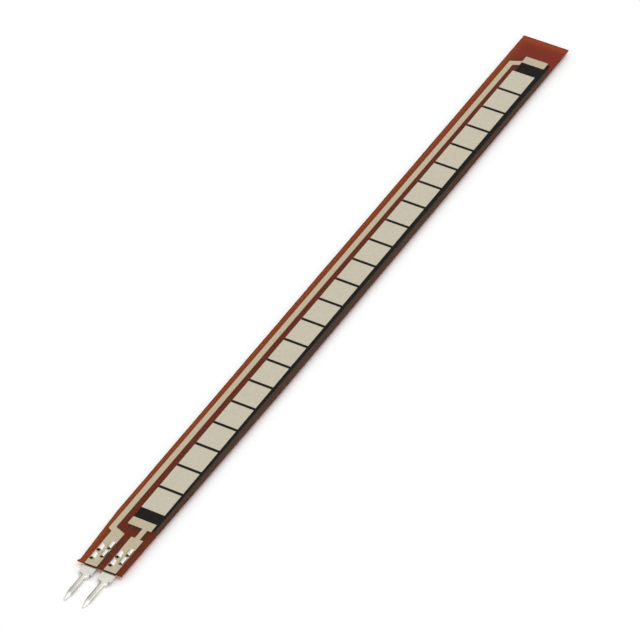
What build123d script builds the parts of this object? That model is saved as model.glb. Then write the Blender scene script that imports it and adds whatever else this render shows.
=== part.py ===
from build123d import *
from math import cos, degrees, pi, radians, sin, tan
import os

os.makedirs("parts", exist_ok=True)

# Resistive bend sensor, lying flat with its printed side up, in millimetres.
# X runs from the pins to the far end, +Y is the side of the return trace, and Z is up.
# The origin is under the middle of the whole length, on the surface that the sensor lies on.

# Printed pattern along the strip
segment_count = 22
segment_pitch = 4.064
segment_gap = 0.406
contact_length = 1.27
tail_bare_length = 1.74  # bare ink between the first contact bar and the first segment
head_bare_length = 1.97  # bare ink between the last segment and the last contact bar
head_margin = 3.67  # film beyond the last contact bar

# Printed pattern across the strip, from the trace's edge of the film to the other edge
trace_margin = 0.645
trace_width = 0.7
trace_gap = 0.845
segment_width = 3.175
ink_side_margin = 1.185
trace_askew = 0.25  # the trace comes this much nearer to the segments by its far end

# Carbon strip: printed slightly askew, and tucked in under the outer ends of the contact bars
ink_overhang = 0.325  # beyond the segments, on the side away from the trace
ink_askew = 0.3
ink_tuck = 0.25

# Film and print thicknesses
film_thickness = 0.21
ink_thickness = 0.02
silver_thickness = 0.02

# Hand trimming of the film at the pins
tail_slant = 0.2
trace_side_trim = 0.44
trace_side_trim_length = 9.0
ink_side_trim = 0.42
ink_side_trim_length = 36.0
spur_width = 0.2  # sliver of film that the shears left standing out at the corner by the trace
spur_length = 0.35

# Silver pads, neck and link
pad_margin = 0.05  # pad beyond the terminal's plate, on each side
pad_length = 6.1  # from the film's cut end
pad_chamfer = 0.3  # along the strip, where the pad steps out to the trace
pad_taper = 0.52  # along the strip, where the pad narrows to the trace
neck_width = 0.66
neck_length = 1.66
head_contact_shift = 0.2  # the far contact bar sits a little off the row of segments
link_setback = 1.69  # from the far end of the bar back to where the trace turns
link_slant = 0.68
link_width = 0.85

# Terminals: one blank of sheet each
pin_pitch = 2.54
sheet_thickness = 0.18
terminal_width = 1.5
shoulder_width = 1.7
shoulder_length = 1.1  # from the film's cut end out to the roll
shoulder_tuck = 0.3  # shoulder that runs in under the film
roll_start_width = 1.2  # the sheet is notched to this where the roll starts
pin_blank_width = 1.55  # sheet that is rolled into the pin
roll_length = 0.7
straight_length = 2.36
tip_length = 1.4
tip_radius = 0.15
seam_gap = 0.08
first_turn = 0.1  # radians that the sheet is already rolled through where the roll starts
roll_stations = 8

# Claws: pairs along each side of the plate, staggered from side to side
claws_per_side = 2
first_claw = 1.5
claw_pitch = 1.5
claw_stagger = 0.74
claw_length = 1.05
claw_tip_length = 0.7
claw_bend = 0.11  # inside radius of the curl
claw_turn = 140.0  # degrees that the claw curls through
claw_rise = 0.02  # from the pad up to the start of the curl
plate_margin = 0.7  # plate beyond the last claw
slot_clearance = 0.03

# Worked out along the strip
tail_length = pad_length + neck_length
row_length = segment_count * segment_pitch - segment_gap
active_length = 2 * contact_length + tail_bare_length + row_length + head_bare_length
film_length = tail_length + active_length + head_margin
pin_reach = shoulder_length + roll_length + straight_length + tip_length
tail_x = (pin_reach - film_length) / 2
head_x = tail_x + film_length
active_start = tail_x + tail_length
active_end = active_start + active_length
first_segment = active_start + contact_length + tail_bare_length
pad_end = tail_x + pad_length
ink_start = active_start + ink_tuck
ink_end = active_end - ink_tuck

# Worked out across the strip
film_width = trace_margin + trace_width + trace_gap + segment_width + ink_side_margin
trace_outer = film_width / 2 - trace_margin
trace_inner = trace_outer - trace_width
row_left = trace_inner - trace_gap
row_right = row_left - segment_width
pad_y = pin_pitch / 2
pad_width = terminal_width + 2 * pad_margin
head_bar_left = row_left - head_contact_shift
far_trace_outer = trace_outer - trace_askew
far_trace_inner = trace_inner - trace_askew

# The pin is the terminal's sheet rolled down to a tube, with the seam's gap below
pin_wall_radius = (pin_blank_width + seam_gap) / (2 * pi)
pin_radius = pin_wall_radius + sheet_thickness / 2
roll_end = tail_x - shoulder_length - roll_length
tip_start = roll_end - straight_length

# Worked out upwards: the pins lie on the table, the plates are level with the top of the pins,
# and the film lies on the plates
film_base = 2 * pin_radius
plate_base = film_base - sheet_thickness
film_top = film_base + film_thickness
ink_top = film_top + ink_thickness
print_top = ink_top + silver_thickness
pad_top = film_top + silver_thickness


def film_outline():
    """The film as cut: parallel sides, trimmed narrower towards the pins."""
    half = film_width / 2
    corner = half - trace_side_trim
    with BuildSketch(Plane.XY.offset(film_base)) as outline:
        with BuildLine():
            Polyline(
                (tail_x, corner + spur_width),
                (tail_x + spur_length, corner),
                (tail_x + trace_side_trim_length, half),
                (head_x, half),
                (head_x, -half),
                (tail_x + ink_side_trim_length, -half),
                (tail_x + tail_slant, -half + ink_side_trim),
                close=True,
            )
        make_face()
    return outline.sketch


def claw_places():
    """Centre of each claw along X, and the side of the plate that it stands on."""
    places = []
    for number in range(claws_per_side):
        place = tail_x + first_claw + number * claw_pitch
        places.append((place, 1))
        places.append((place + claw_stagger, -1))
    return places


def claw_slots():
    """Slots that the claws' legs cut through the film and the pads."""
    leg_y = terminal_width / 2 - sheet_thickness / 2
    spots = [(x, y + side * leg_y) for x, side in claw_places() for y in (pad_y, -pad_y)]
    with BuildSketch(Plane.XY) as slots:
        with Locations(*spots):
            Rectangle(claw_length + 2 * slot_clearance, sheet_thickness + 2 * slot_clearance)
    return slots.sketch


trim = film_outline()
slots = claw_slots()

# Film
with BuildPart() as film:
    add(trim)
    extrude(amount=film_thickness)
    extrude(slots, amount=print_top, mode=Mode.SUBTRACT)
film.part.label = "film"
export_step(film.part, "parts/film.step")

# Carbon strip
ink_right = row_right - ink_overhang
with BuildPart() as resistive_ink:
    with BuildSketch(Plane.XY.offset(film_top)):
        with BuildLine():
            Polyline(
                (ink_start, row_left),
                (ink_end, row_left - ink_askew),
                (ink_end, ink_right - ink_askew),
                (ink_start, ink_right),
                close=True,
            )
        make_face()
    extrude(amount=ink_thickness)
resistive_ink.part.label = "resistive_ink"
export_step(resistive_ink.part, "parts/resistive_ink.step")

# Silver segments, on top of the carbon strip
for number in range(segment_count):
    start = first_segment + number * segment_pitch
    with BuildPart() as segment:
        with BuildSketch(Plane.XY.offset(ink_top)):
            with Locations((start, row_right)):
                Rectangle(segment_pitch - segment_gap, segment_width, align=Align.MIN)
        extrude(amount=silver_thickness)
    segment.part.label = f"segment_{number + 1:02d}"
    export_step(segment.part, f"parts/segment_{number + 1:02d}.step")


def contact_bar(start, left):
    """Bar across the strip, from the film up over the end of the carbon strip."""
    with BuildSketch(Plane.XY.offset(film_top)) as bar:
        with Locations((start, left - segment_width)):
            Rectangle(contact_length, segment_width, align=Align.MIN)
    return bar.sketch


# Silver print of the trace side: pad, trace, link and the far contact bar
bar_start = active_end - contact_length
link_start = active_end - link_setback
link_end = link_start + link_slant
link_run = link_slant * trace_width / (far_trace_outer - head_bar_left)
with BuildPart() as return_conductor:
    with BuildSketch(Plane.XY.offset(film_top)):
        with BuildLine():
            Polyline(
                (tail_x, pad_y + pad_width / 2),
                (pad_end - pad_chamfer, pad_y + pad_width / 2),
                (pad_end, trace_outer),
                (link_start, far_trace_outer),
                (link_end, head_bar_left),
                (bar_start, head_bar_left),
                (link_end - link_width, head_bar_left),
                (link_start - link_width + link_run, far_trace_inner),
                (pad_end + pad_taper, trace_inner),
                (pad_end, pad_y - pad_width / 2),
                (tail_x, pad_y - pad_width / 2),
                close=True,
            )
        make_face()
    extrude(amount=silver_thickness)
    extrude(contact_bar(bar_start, head_bar_left), amount=print_top - film_top)
    extrude(trim, amount=print_top, mode=Mode.INTERSECT)
    extrude(slots, amount=print_top, mode=Mode.SUBTRACT)
    add(resistive_ink.part, mode=Mode.SUBTRACT)
return_conductor.part.label = "return_conductor"
export_step(return_conductor.part, "parts/return_conductor.step")

# Silver print of the other side: pad, neck and the first contact bar
with BuildPart() as tail_conductor:
    with BuildSketch(Plane.XY.offset(film_top)):
        with Locations((tail_x, -pad_y)):
            Rectangle(pad_length, pad_width, align=(Align.MIN, Align.CENTER))
        with Locations((pad_end, -pad_y)):
            Rectangle(neck_length, neck_width, align=(Align.MIN, Align.CENTER))
    extrude(amount=silver_thickness)
    extrude(contact_bar(active_start, row_left), amount=print_top - film_top)
    extrude(trim, amount=print_top, mode=Mode.INTERSECT)
    extrude(slots, amount=print_top, mode=Mode.SUBTRACT)
    add(resistive_ink.part, mode=Mode.SUBTRACT)
tail_conductor.part.label = "tail_conductor"
export_step(tail_conductor.part, "parts/tail_conductor.step")

# One claw, centred on X = 0: up through the film, over, and slanting down onto the pad
claw_radius = claw_bend + sheet_thickness
leg_outer = terminal_width / 2
leg_inner = leg_outer - sheet_thickness
curl_y = leg_outer - claw_radius
curl_z = pad_top + claw_rise


def claw_foot(radius):
    """Where the face of the claw at this radius from the curl's centre comes down onto the pad."""
    turn = radians(claw_turn)
    height = curl_z + radius * sin(turn) - pad_top
    return curl_y + radius * cos(turn) + height * tan(turn)


foot_outer = claw_foot(claw_radius)
foot_inner = claw_foot(claw_bend)
with BuildPart() as claw:
    with BuildSketch(Plane.YZ):
        with BuildLine():
            Polyline(
                (leg_outer, curl_z),
                (leg_outer, plate_base),
                (leg_inner, plate_base),
                (leg_inner, curl_z),
            )
            inner = CenterArc((curl_y, curl_z), claw_bend, 0, claw_turn)
            outer = CenterArc((curl_y, curl_z), claw_radius, 0, claw_turn)
            Polyline(inner @ 1, (foot_inner, pad_top), (foot_outer, pad_top), outer @ 1)
        make_face()
    extrude(amount=claw_length / 2, both=True)
    with BuildSketch(Plane.XY):
        with BuildLine():
            Polyline(
                (-claw_length / 2, leg_outer),
                (claw_length / 2, leg_outer),
                (claw_tip_length / 2, foot_outer),
                (-claw_tip_length / 2, foot_outer),
                close=True,
            )
        make_face()
    extrude(amount=curl_z + claw_radius, mode=Mode.INTERSECT)
claws = {1: claw.part, -1: mirror(claw.part, about=Plane.XZ)}


def rolled_sheet(x, y, width, turn):
    """Section of the blank at x, rolled down about its middle through the angle turn."""
    wall_radius = width / turn
    centre = (0, film_base - wall_radius - sheet_thickness / 2)
    start = 90 - degrees(turn) / 2
    with BuildSketch(Plane(origin=(x, y, 0), x_dir=(0, 1, 0), z_dir=(1, 0, 0))) as section:
        with BuildLine():
            outer = CenterArc(centre, wall_radius + sheet_thickness / 2, start, degrees(turn))
            inner = CenterArc(centre, wall_radius - sheet_thickness / 2, start, degrees(turn))
            Line(outer @ 0, inner @ 0)
            Line(outer @ 1, inner @ 1)
        make_face()
    return section.sketch


# Terminals
full_roll = pin_blank_width / pin_wall_radius
last_claw_end = first_claw + (claws_per_side - 1) * claw_pitch + claw_stagger + claw_length / 2
plate_length = last_claw_end + plate_margin
for side, y in (("left", pad_y), ("right", -pad_y)):
    with BuildPart() as terminal:
        with BuildSketch(Plane.XY.offset(plate_base)):
            with Locations((tail_x, y)):
                Rectangle(plate_length, terminal_width, align=(Align.MIN, Align.CENTER))
            with Locations((tail_x - shoulder_length, y)):
                Rectangle(shoulder_length + shoulder_tuck, shoulder_width, align=(Align.MIN, Align.CENTER))
        extrude(amount=sheet_thickness)
        sections = []
        for step in range(roll_stations + 1):
            share = step / roll_stations
            eased = share * share * (3 - 2 * share)
            width = roll_start_width + (pin_blank_width - roll_start_width) * eased
            turn = first_turn + (full_roll - first_turn) * eased
            x = tail_x - shoulder_length - roll_length * share
            sections.append(rolled_sheet(x, y, width, turn))
        loft(sections)
        extrude(rolled_sheet(roll_end, y, pin_blank_width, full_roll), amount=-straight_length)
        with BuildSketch(Plane(origin=(tip_start, y, pin_radius), x_dir=(-1, 0, 0), z_dir=(0, -1, 0))):
            with BuildLine():
                Polyline((tip_length, 0), (0, 0), (0, pin_radius), (tip_length - tip_radius, tip_radius))
                CenterArc((tip_length - tip_radius, 0), tip_radius, 0, 90)
            make_face()
        revolve(axis=Axis((tip_start, y, pin_radius), (-1, 0, 0)))
        for place, claw_side in claw_places():
            with Locations((place, y, 0)):
                add(claws[claw_side])
    terminal.part.label = f"terminal_{side}"
    export_step(terminal.part, f"parts/terminal_{side}.step")
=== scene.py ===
from math import radians

import bmesh
import bpy
from mathutils import Matrix, Vector, noise


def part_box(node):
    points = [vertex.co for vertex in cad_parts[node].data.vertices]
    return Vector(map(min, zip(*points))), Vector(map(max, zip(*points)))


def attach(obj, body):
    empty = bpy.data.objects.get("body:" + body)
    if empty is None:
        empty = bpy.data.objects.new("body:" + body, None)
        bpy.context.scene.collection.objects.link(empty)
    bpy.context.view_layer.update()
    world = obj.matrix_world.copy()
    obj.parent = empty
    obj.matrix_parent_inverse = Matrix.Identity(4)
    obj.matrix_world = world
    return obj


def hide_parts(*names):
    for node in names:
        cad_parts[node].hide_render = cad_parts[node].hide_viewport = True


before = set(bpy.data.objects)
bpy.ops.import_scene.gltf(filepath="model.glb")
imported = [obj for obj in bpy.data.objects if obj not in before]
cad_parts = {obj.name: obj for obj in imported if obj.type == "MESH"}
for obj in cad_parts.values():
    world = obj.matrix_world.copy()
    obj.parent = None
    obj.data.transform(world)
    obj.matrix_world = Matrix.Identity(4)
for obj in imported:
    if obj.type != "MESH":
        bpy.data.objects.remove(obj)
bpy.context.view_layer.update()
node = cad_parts
mm = 0.001


# The studio. A long lens looks down along the strip from above the pins, and the strip lies on a
# plain white table. Most of the light comes from a white ceiling, with a large soft lamp on the near
# side. Glossy surfaces mirror pale walls, a bright panel on the near side, and a dim far side.
camera_place = Vector((-359.80, -233.36, 393.34)) * mm
camera_forward = Vector((0.61730, 0.40148, -0.67658))
camera_right = Vector((0.50879, -0.85966, -0.04591))
sensor_width, lens_length = 36, 270.08  # both in millimetres, as a camera's data has them
nearest_seen, farthest_seen = 0.01, 10
lamp_place = Vector((-0.05, -0.30, 0.72))
lamp_across, lamp_power = 0.45, 2.0
level_light, ceiling_light = 0.19, 1.05
mirrored_wall, mirrored_panel = 1.02, 1.60
panel_edges = (-0.70, -0.50)  # across the room: all panel, then all wall
dim_edges, dim_heights = (0.45, 0.65), (0.55, 0.35)  # across the room, and down the far wall
dimming = 0.8
white = (1, 1, 1, 1)
table_white = (0.98, 0.98, 0.98, 1)
table_half = 3.0


def ramp(nodes, links, place, edges, values):
    """A number that goes from its first value at the first edge to its second at the second."""
    slope = nodes.new("ShaderNodeMapRange")
    slope.inputs["From Min"].default_value, slope.inputs["From Max"].default_value = edges
    slope.inputs["To Min"].default_value, slope.inputs["To Max"].default_value = values
    links.new(place, slope.inputs["Value"])
    return slope.outputs["Result"]


def worked_out(nodes, links, operation, first, second):
    """Two numbers multiplied, or the second taken from the first."""
    step = nodes.new("ShaderNodeMath")
    step.operation = operation
    links.new(first, step.inputs[0])
    links.new(second, step.inputs[1])
    return step.outputs["Value"]


def mixed(nodes, links, share, first, second):
    """A shader that is the second one by a share, which is a plain number or another node's."""
    both = nodes.new("ShaderNodeMixShader")
    if isinstance(share, float):
        both.inputs["Fac"].default_value = share
    else:
        links.new(share, both.inputs["Fac"])
    links.new(first, both.inputs[1])
    links.new(second, both.inputs[2])
    return both.outputs["Shader"]


def wall_light(nodes, links, strength=None):
    """White light from the walls, at strength 1 unless a node gives another."""
    light = nodes.new("ShaderNodeBackground")
    light.inputs["Color"].default_value = white
    light.inputs["Strength"].default_value = 1
    if strength is not None:
        links.new(strength, light.inputs["Strength"])
    return light.outputs["Background"]


camera = bpy.data.objects.new("camera", bpy.data.cameras.new("camera"))
camera.data.sensor_width = sensor_width
camera.data.lens = lens_length
camera.data.clip_start = nearest_seen
camera.data.clip_end = farthest_seen
camera_up = camera_right.cross(camera_forward)
turn = Matrix((camera_right, camera_up, -camera_forward)).transposed()
camera.matrix_world = Matrix.Translation(camera_place) @ turn.to_quaternion().to_matrix().to_4x4()
bpy.context.scene.collection.objects.link(camera)
bpy.context.scene.camera = camera

key = bpy.data.objects.new("key_lamp", bpy.data.lights.new("key_lamp", "AREA"))
key.data.shape = "DISK"
key.data.size = lamp_across
key.data.energy = lamp_power
key.location = lamp_place
key.rotation_euler = (-key.location).to_track_quat("-Z", "Y").to_euler()
key.visible_camera = False
key.visible_glossy = False
bpy.context.scene.collection.objects.link(key)

walls = bpy.data.worlds.new("white_walls")
walls.use_nodes = True
wall_nodes, wall_links = walls.node_tree.nodes, walls.node_tree.links
wall_nodes.clear()
way = wall_nodes.new("ShaderNodeTexCoord")
room = wall_nodes.new("ShaderNodeSeparateXYZ")
wall_links.new(way.outputs["Generated"], room.inputs["Vector"])
lighting = ramp(wall_nodes, wall_links, room.outputs["Z"], (0, 1), (level_light, ceiling_light))
panel = ramp(wall_nodes, wall_links, room.outputs["Y"], panel_edges, (mirrored_panel, mirrored_wall))
far_side = ramp(wall_nodes, wall_links, room.outputs["Y"], dim_edges, (0, 1))
low_down = ramp(wall_nodes, wall_links, room.outputs["Z"], dim_heights, (0, dimming))
dimmed = worked_out(wall_nodes, wall_links, "MULTIPLY", far_side, low_down)
mirrored = worked_out(wall_nodes, wall_links, "SUBTRACT", panel, dimmed)
rays = wall_nodes.new("ShaderNodeLightPath")
lit_or_mirrored = mixed(
    wall_nodes, wall_links, rays.outputs["Is Glossy Ray"],
    wall_light(wall_nodes, wall_links, lighting), wall_light(wall_nodes, wall_links, mirrored))
backdrop = wall_light(wall_nodes, wall_links)
seen = mixed(wall_nodes, wall_links, rays.outputs["Is Camera Ray"], lit_or_mirrored, backdrop)
sky = wall_nodes.new("ShaderNodeOutputWorld")
wall_links.new(seen, sky.inputs["Surface"])
bpy.context.scene.world = walls
bpy.context.scene.view_settings.view_transform = "Standard"

table_top = bmesh.new()
bmesh.ops.create_grid(table_top, x_segments=1, y_segments=1, size=table_half)
table = bpy.data.objects.new("table", bpy.data.meshes.new("table"))
table_top.to_mesh(table.data)
table_top.free()
bpy.context.scene.collection.objects.link(table)
table_finish = bpy.data.materials.new("white_table")
table_finish.use_nodes = True
table_coat = table_finish.node_tree.nodes["Principled BSDF"]
table_coat.inputs["Base Color"].default_value = table_white
table_coat.inputs["Specular IOR Level"].default_value = 0
table_coat.inputs["Roughness"].default_value = 1
table.data.materials.append(table_finish)


# The film. It is a clear amber plastic sheet, slit from a wider sheet with a knife and trimmed again
# at the pins, so its two long edges wander a little and have small nicks. Its cut faces are rough
# and let less light through, and painted shade darkens them, the margin beside the carbon strip and the
# far end.
film_through = (0.63, 0.27, 0.045, 1)
film_body, film_body_share = (0.30, 0.120, 0.062, 1), 0.15
film_roughness = 0.16
film_ior = 1.17
film_blotch = 1.5 * mm
scuff_size, scuff_depth, scuff_detail = 0.25 * mm, 0.0015 * mm, 4.0
# the cut faces' dark matte colour is painted shade
cut_edge_shade, cut_edge_shade_share = (0.075, 0.030, 0.014, 1), 0.55
edge_roughness = 0.5
# painted shade, with a grey sheen, on the film's margin beside the carbon strip
margin_shade, margin_shade_share = (0.042, 0.050, 0.041, 1), 0.5
margin_shade_ends = (-42.6 * mm, 51.2 * mm)
margin_shade_side, margin_shade_fade = -2.3 * mm, 0.15 * mm
# painted shade over the far end of the film
head_shade, head_shade_share = (0.265, 0.031, 0.015, 1), 0.5
head_shade_start = 51.0 * mm
fade = 0.6 * mm
weld = 0.001 * mm
station_pitch = 0.35 * mm
wander_length, wander = 7 * mm, 0.045 * mm
nick_length, nick = 0.8 * mm, 0.035 * mm
wander_row, nick_row = 9.0, 4.0  # the rows of the noise that the two edges follow, one on each side of 0
outer_band = 2.4 * mm  # the slots for the claws all lie nearer to the middle than this
mid_greys = (0.3, 0.7)  # nearly all of a noise texture lies between these


def blank_material(name):
    """A material with its nodes cleared, its nodes and links, and its output node."""
    material = bpy.data.materials.new(name)
    material.use_nodes = True
    material.node_tree.nodes.clear()
    output = material.node_tree.nodes.new("ShaderNodeOutputMaterial")
    return material, material.node_tree.nodes, material.node_tree.links, output


def mottle(nodes, links, blotch, detail=2.0):
    """Uneven grey between 0 and 1, in blotches about so many metres across."""
    where = nodes.new("ShaderNodeTexCoord")
    cloud = nodes.new("ShaderNodeTexNoise")
    cloud.inputs["Scale"].default_value = 1 / blotch
    cloud.inputs["Detail"].default_value = detail
    links.new(where.outputs["Object"], cloud.inputs["Vector"])
    return cloud.outputs["Fac"]


def blended(nodes, links, amount, first, second):
    """A colour that goes from first to second over the middle greys of amount."""
    shades = nodes.new("ShaderNodeValToRGB")
    for stop, position, colour in zip(shades.color_ramp.elements, mid_greys, (first, second)):
        stop.position = position
        stop.color = colour
    links.new(amount, shades.inputs["Fac"])
    return shades.outputs["Color"]


def relief(nodes, links, amount, depth):
    """A normal for a surface that rises so many metres where amount is 1."""
    bump = nodes.new("ShaderNodeBump")
    bump.inputs["Strength"].default_value = 1
    bump.inputs["Distance"].default_value = depth
    links.new(amount, bump.inputs["Height"])
    return bump.outputs["Normal"]


def scaled(colour, factor):
    """The same colour, brighter or darker."""
    return tuple(part * factor for part in colour[:3]) + (1,)


def along_and_across(nodes, links):
    """Where a point lies along the sensor, and how far across it."""
    where = nodes.new("ShaderNodeTexCoord")
    place = nodes.new("ShaderNodeSeparateXYZ")
    links.new(where.outputs["Object"], place.inputs["Vector"])
    return place.outputs["X"], place.outputs["Y"]


def matte(nodes, links, colour):
    """A plain matte shader of one colour, given or from another node."""
    flat = nodes.new("ShaderNodeBsdfDiffuse")
    if isinstance(colour, tuple):
        flat.inputs["Color"].default_value = colour
    else:
        links.new(colour, flat.inputs["Color"])
    return flat.outputs["BSDF"]


def film_material(name, body, body_share, roughness, with_painted_shade=False):
    """Clear amber plastic with a matte colour mixed in, a gloss, and painted shade on its upper face if
    asked.
    """
    material, nodes, links, output = blank_material(name)
    clear = nodes.new("ShaderNodeBsdfTransparent")
    clear.inputs["Color"].default_value = film_through
    blotches = mottle(nodes, links, film_blotch)
    body_colour = blended(nodes, links, blotches, scaled(body, 0.9), scaled(body, 1.1))
    surface = mixed(nodes, links, body_share, clear.outputs["BSDF"], matte(nodes, links, body_colour))
    if with_painted_shade:
        along, across = along_and_across(nodes, links)
        # painted shade on the margin beside the carbon strip, faded in at its ends
        beside = ramp(nodes, links, across, (margin_shade_side, margin_shade_side - margin_shade_fade), (0, margin_shade_share))
        after = ramp(nodes, links, along, (margin_shade_ends[0], margin_shade_ends[0] + fade), (0, 1))
        before = ramp(nodes, links, along, (margin_shade_ends[1], margin_shade_ends[1] - fade), (0, 1))
        margin_shaded = worked_out(nodes, links, "MULTIPLY", after, before)
        margin_shaded = worked_out(nodes, links, "MULTIPLY", beside, margin_shaded)
        surface = mixed(nodes, links, margin_shaded, surface, matte(nodes, links, margin_shade))
        # painted shade over the far end of the film
        head_shaded = ramp(nodes, links, along, (head_shade_start, head_shade_start + 2 * fade), (0, head_shade_share))
        surface = mixed(nodes, links, head_shaded, surface, matte(nodes, links, head_shade))
    gloss = nodes.new("ShaderNodeBsdfGlossy")
    gloss.inputs["Roughness"].default_value = roughness
    scuffs = mottle(nodes, links, scuff_size, scuff_detail)
    links.new(relief(nodes, links, scuffs, scuff_depth), gloss.inputs["Normal"])
    mirror = nodes.new("ShaderNodeFresnel")
    mirror.inputs["IOR"].default_value = film_ior
    coated = mixed(nodes, links, mirror.outputs["Fac"], surface, gloss.outputs["BSDF"])
    links.new(coated, output.inputs["Surface"])
    return material


film_low, film_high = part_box("film")
shape = bmesh.new()
shape.from_mesh(node["film"].data)
bmesh.ops.remove_doubles(shape, verts=shape.verts, dist=weld)
bmesh.ops.dissolve_limit(shape, angle_limit=radians(1), verts=shape.verts, edges=shape.edges)
stations = int((film_high.x - film_low.x) / station_pitch)
for number in range(1, stations):
    cut_x = film_low.x + number * station_pitch
    bmesh.ops.bisect_plane(
        shape, geom=shape.verts[:] + shape.edges[:] + shape.faces[:],
        plane_co=(cut_x, 0, 0), plane_no=(1, 0, 0),
    )
for vert in shape.verts:
    if any(abs(face.normal.y) > 0.9 and abs(face.calc_center_median().y) > outer_band
           for face in vert.link_faces):
        side = 1 if vert.co.y > 0 else -1
        slow = noise.noise((vert.co.x / wander_length, side * wander_row, 0.5))
        quick = noise.noise((vert.co.x / nick_length, side * nick_row, vert.co.z / nick_length))
        inward = wander * (0.5 + 0.5 * slow) + nick * max(0.0, quick)
        vert.co.y -= side * inward
plain_side, cut_edge, printed_side = 0, 1, 2
for face in shape.faces:
    face.material_index = (
        plain_side if face.normal.z < -0.5 else cut_edge if face.normal.z < 0.5 else printed_side)
film = bpy.data.objects.new("film_sheet", bpy.data.meshes.new("film_sheet"))
shape.to_mesh(film.data)
shape.free()
bpy.context.scene.collection.objects.link(film)
film.data.materials.append(film_material("amber_film", film_body, film_body_share, film_roughness))
film.data.materials.append(
    film_material("amber_film_cut_edge", cut_edge_shade, cut_edge_shade_share, edge_roughness))
film.data.materials.append(
    film_material("amber_film_printed_side", film_body, film_body_share, film_roughness, with_painted_shade=True))
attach(film, "root")
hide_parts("film")


# The claw hollows. Each claw was pushed up through the film from below and curled over, and under its
# near end a small near-black piece stands in the hollow as painted shade. Each one is
# drawn out of the curl's hollow, widened in front of the claw, and tapered down to the pad.
# the near-black colour is painted shade in the claws' hollows
hollow_shade_dark = (0.010, 0.008, 0.005, 1)
hollow_shade_blotch = 0.1 * mm
print_thickness = 0.02 * mm
pad_top = film_high.z + print_thickness
pad_middles = (1.27 * mm, -1.27 * mm)
claw_stagger = 0.74 * mm
near_ends = [(film_low.x + 0.975 * mm, 1), (film_low.x + 2.475 * mm, 1)]
near_ends += [(near_end + claw_stagger, -1) for near_end, claw_side in near_ends]
shade_root, shade_middle = 0.40 * mm, 0.47 * mm  # in from the claw's near end, and out from the pad's middle
hollow = ((0.08, 0.0), (0.07, 0.05), (0.03, 0.075), (-0.04, 0.075), (-0.10, 0.04), (-0.13, 0.0))
shade_spread = {1: (0.065, 2.4), -1: (-0.05, 1.6)}  # millimetres outward before the claw, and how much wider
shade_ragged, ragged_bumps = 0.3, 3000  # share of the rise, and bumps in a metre
hollow_shades = bmesh.new()
for pad_middle in pad_middles:
    for near_end, claw_side in near_ends:
        root = Vector((near_end + shade_root, pad_middle + claw_side * shade_middle, pad_top))
        front = hollow_shades.faces.new([
            hollow_shades.verts.new(root + Vector((0, claw_side * across, up)) * mm) for across, up in hollow])
        outward, spread = shade_spread[claw_side]
        shade_steps = (  # millimetres forward and outward, then how much wider and taller
            (0.39, 0.0, 1.0, 1.0), (0.02, outward, spread, 1.1), (0.03, 0.0, 0.95, 0.8),
            (0.04, 0.0, 0.85, 0.56), (0.03, 0.0, 0.8, 0.3))
        for forward_by, outward_by, wider, taller in shade_steps:
            grown = bmesh.ops.extrude_face_region(hollow_shades, geom=[front])["geom"]
            front = next(part for part in grown if isinstance(part, bmesh.types.BMFace))
            bmesh.ops.scale(
                hollow_shades, verts=front.verts[:], vec=(1, wider, taller), space=Matrix.Translation(-root))
            bmesh.ops.translate(
                hollow_shades, verts=front.verts[:], vec=(-forward_by * mm, claw_side * outward_by * mm, 0))
for vert in hollow_shades.verts:
    rise = vert.co.z - pad_top
    vert.co.z = pad_top + rise * (1 + shade_ragged * noise.noise(vert.co * ragged_bumps))
bmesh.ops.recalc_face_normals(hollow_shades, faces=hollow_shades.faces)
# extruding leaves the new faces in an order that changes from run to run, so they are put in one order
hollow_shades.verts.index_update()
in_order = sorted(hollow_shades.faces, key=lambda face: sorted(vert.index for vert in face.verts))
for number, face in enumerate(in_order):
    face.index = number
hollow_shades.faces.sort()
claw_hollow_shades = bpy.data.objects.new("claw_hollow_shades", bpy.data.meshes.new("claw_hollow_shades"))
hollow_shades.to_mesh(claw_hollow_shades.data)
hollow_shades.free()
bpy.context.scene.collection.objects.link(claw_hollow_shades)
# a near-black matte finish that is painted shade
shade_material, shade_nodes, shade_links, shade_output = blank_material("painted_hollow_shade")
hollow_coat = shade_nodes.new("ShaderNodeBsdfPrincipled")
shade_blotches = mottle(shade_nodes, shade_links, hollow_shade_blotch)
shade_colour = blended(shade_nodes, shade_links, shade_blotches, hollow_shade_dark, scaled(hollow_shade_dark, 1.6))
shade_links.new(shade_colour, hollow_coat.inputs["Base Color"])
hollow_coat.inputs["Roughness"].default_value = 0.6
hollow_coat.inputs["Specular IOR Level"].default_value = 0.1
shade_links.new(hollow_coat.outputs["BSDF"], shade_output.inputs["Surface"])
claw_hollow_shades.data.materials.append(shade_material)
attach(claw_hollow_shades, "root")


# The carbon strip. It is black resistive ink, screen printed straight onto the film, and it dries
# matte with a faint grain.
carbon_dark = (0.009, 0.008, 0.007, 1)
carbon_pale = (0.0145, 0.0135, 0.012, 1)
grain_detail = 3.0
roughness_spread = 0.06


def ink_material(name, dark, pale, blotch, grain, depth, roughness, specular, metallic=0.0):
    """Printed ink: blotches of two shades, and a fine grain that lifts the surface."""
    material, nodes, links, output = blank_material(name)
    ink = nodes.new("ShaderNodeBsdfPrincipled")
    blotches = mottle(nodes, links, blotch, grain_detail)
    links.new(blended(nodes, links, blotches, dark, pale), ink.inputs["Base Color"])
    tooth = mottle(nodes, links, grain, grain_detail)
    links.new(relief(nodes, links, tooth, depth), ink.inputs["Normal"])
    roughnesses = (roughness - roughness_spread, roughness + roughness_spread)
    links.new(ramp(nodes, links, tooth, mid_greys, roughnesses), ink.inputs["Roughness"])
    ink.inputs["Specular IOR Level"].default_value = specular
    ink.inputs["Metallic"].default_value = metallic
    links.new(ink.outputs["BSDF"], output.inputs["Surface"])
    return material


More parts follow.
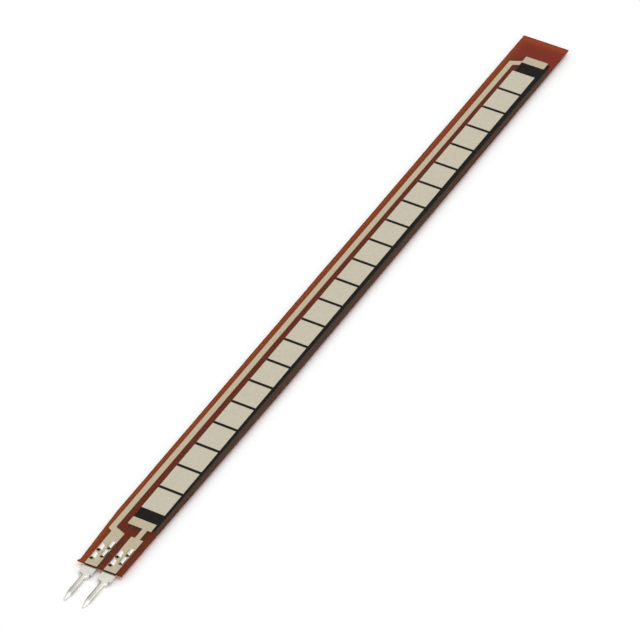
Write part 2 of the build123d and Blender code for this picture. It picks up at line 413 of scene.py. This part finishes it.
def finish_node(name, material):
    """Gives a CAD piece its finish."""
    node[name].data.materials.clear()
    node[name].data.materials.append(material)


carbon = ink_material(
    "carbon_ink", carbon_dark, carbon_pale, blotch=0.5 * mm, grain=0.08 * mm, depth=0.004 * mm,
    roughness=0.6, specular=0.06)
finish_node("resistive_ink", carbon)


# The silver segments. They are twenty-two rectangles of silver ink in one row, printed over the
# carbon strip after it has dried, so that current runs through bare carbon only in the gaps.
segment_count = 22
silver_dark = (0.53, 0.49, 0.38, 1)
silver_pale = (0.58, 0.54, 0.42, 1)
silver_print = {
    "blotch": 0.45 * mm, "grain": 0.07 * mm, "depth": 0.003 * mm,
    "roughness": 0.5, "specular": 0.35, "metallic": 0.25,
}
silver = ink_material("silver_ink", silver_dark, silver_pale, **silver_print)
for number in range(1, segment_count + 1):
    finish_node(f"segment_{number:02d}", silver)


# The silver conductors. They are pads under the pins' claws, a long trace, a neck and the two contact
# bars, so that both ends of the carbon strip reach the pins. They are printed in silver ink straight
# on the amber film, which makes them a little darker and warmer than the segments on the carbon.
warm_dark = (0.49, 0.415, 0.29, 1)
warm_pale = (0.535, 0.455, 0.32, 1)
warm_silver = ink_material("silver_ink_on_film", warm_dark, warm_pale, **silver_print)
for name in ("return_conductor", "tail_conductor"):
    finish_node(name, warm_silver)


# The terminals. Each is stamped from one piece of tinned sheet: a flat plate under the film, four
# claws pressed up through film and pad and curled over, and a tail rolled into a pin for soldering.
# Painted shade darkens the tin along the pin to where the roll ends, and a painted highlight brightens the
# tip.
tin_dark = (0.69, 0.675, 0.615, 1)
tin_pale = (0.76, 0.74, 0.675, 1)
# painted shade along the pin, then a painted highlight on its tip
pin_painted_shade, pin_shade_edges = (0.53, 0.52, 0.475, 1), (-51.8 * mm, -54.8 * mm)
tip_painted_highlight, tip_highlight_edges = (0.88, 0.87, 0.83, 1), (-54.95 * mm, -55.3 * mm)
tarnish_size = 0.6 * mm
rub_size, rub_depth = 0.12 * mm, 0.002 * mm
tin_roughnesses = (0.26, 0.38)
tin, tin_nodes, tin_links, tin_output = blank_material("tinned_metal")
sheet = tin_nodes.new("ShaderNodeBsdfPrincipled")
sheet.inputs["Metallic"].default_value = 1
tarnish = mottle(tin_nodes, tin_links, tarnish_size, grain_detail)
tinned = blended(tin_nodes, tin_links, tarnish, tin_dark, tin_pale)
tin_along = along_and_across(tin_nodes, tin_links)[0]
for shade, edges in ((pin_painted_shade, pin_shade_edges), (tip_painted_highlight, tip_highlight_edges)):
    change = tin_nodes.new("ShaderNodeMix")
    change.data_type = "RGBA"
    tin_links.new(ramp(tin_nodes, tin_links, tin_along, edges, (0, 1)), change.inputs["Factor"])
    tin_links.new(tinned, change.inputs["A"])
    change.inputs["B"].default_value = shade
    tinned = change.outputs["Result"]
tin_links.new(tinned, sheet.inputs["Base Color"])
rub = mottle(tin_nodes, tin_links, rub_size, grain_detail)
tin_links.new(ramp(tin_nodes, tin_links, rub, mid_greys, tin_roughnesses), sheet.inputs["Roughness"])
tin_links.new(relief(tin_nodes, tin_links, rub, rub_depth), sheet.inputs["Normal"])
tin_links.new(sheet.outputs["BSDF"], tin_output.inputs["Surface"])
for name in ("terminal_left", "terminal_right"):
    finish_node(name, tin)
